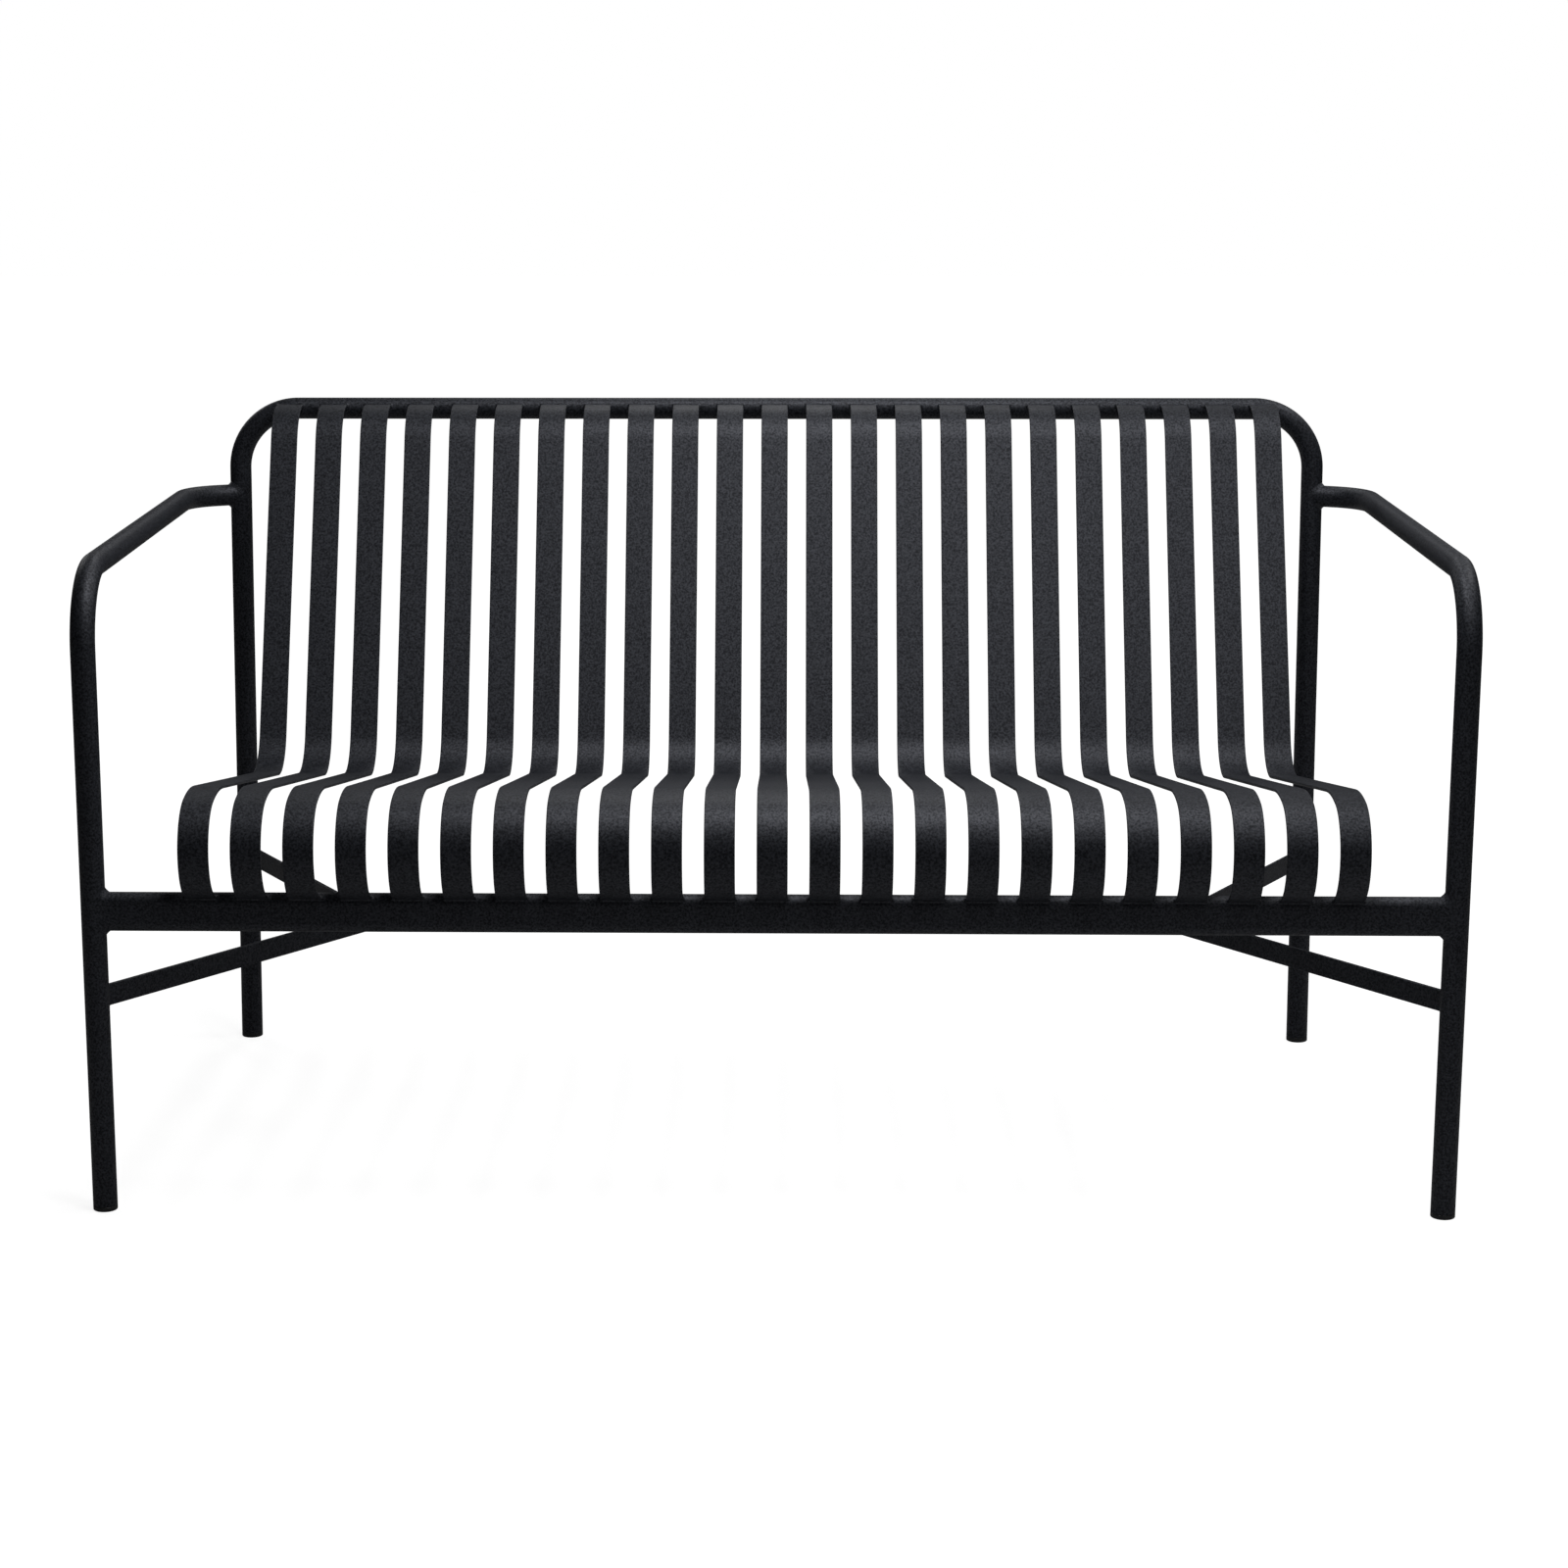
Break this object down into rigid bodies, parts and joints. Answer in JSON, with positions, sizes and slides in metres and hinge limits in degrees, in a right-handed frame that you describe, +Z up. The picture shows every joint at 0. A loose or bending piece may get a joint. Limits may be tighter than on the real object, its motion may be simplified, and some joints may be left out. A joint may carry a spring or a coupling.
{
  "type": "patio loveseat",
  "caption": "Black steel patio loveseat with a bent tube frame, low arms and a slatted seat and back of bent flat strips.",
  "frame": {"origin": "on the floor, below the middle of the bounding box", "axes": "+X to the right as seen from the front, -Y towards the front, +Z up"},
  "size_m": [1.412, 0.7599, 0.7709],
  "materials": {
    "frame_coating": "fine-textured satin powder coat on steel",
    "slat_coating": "fine-textured satin powder coat on steel",
    "glide_plastic": "matte moulded plastic"
  },
  "bodies": {
    "root": {"rear_frame": "frame_coating", "arm_left": "frame_coating", "arm_right": "frame_coating", "front_rail": "frame_coating", "brace_front_left": "frame_coating", "brace_front_right": "frame_coating", "brace_rear_left": "frame_coating", "brace_rear_right": "frame_coating", "brace_centre": "frame_coating", "slat_01": "slat_coating", "slat_02": "slat_coating", "slat_03": "slat_coating", "slat_04": "slat_coating", "slat_05": "slat_coating", "slat_06": "slat_coating", "slat_07": "slat_coating", "slat_08": "slat_coating", "slat_09": "slat_coating", "slat_10": "slat_coating", "slat_11": "slat_coating", "slat_12": "slat_coating", "slat_13": "slat_coating", "slat_14": "slat_coating", "slat_15": "slat_coating", "slat_16": "slat_coating", "slat_17": "slat_coating", "slat_18": "slat_coating", "slat_19": "slat_coating", "slat_20": "slat_coating", "slat_21": "slat_coating", "slat_22": "slat_coating", "slat_23": "slat_coating", "glide_front_left": "glide_plastic", "glide_front_right": "glide_plastic", "glide_rear_left": "glide_plastic", "glide_rear_right": "glide_plastic"}
  },
  "joints": []
}
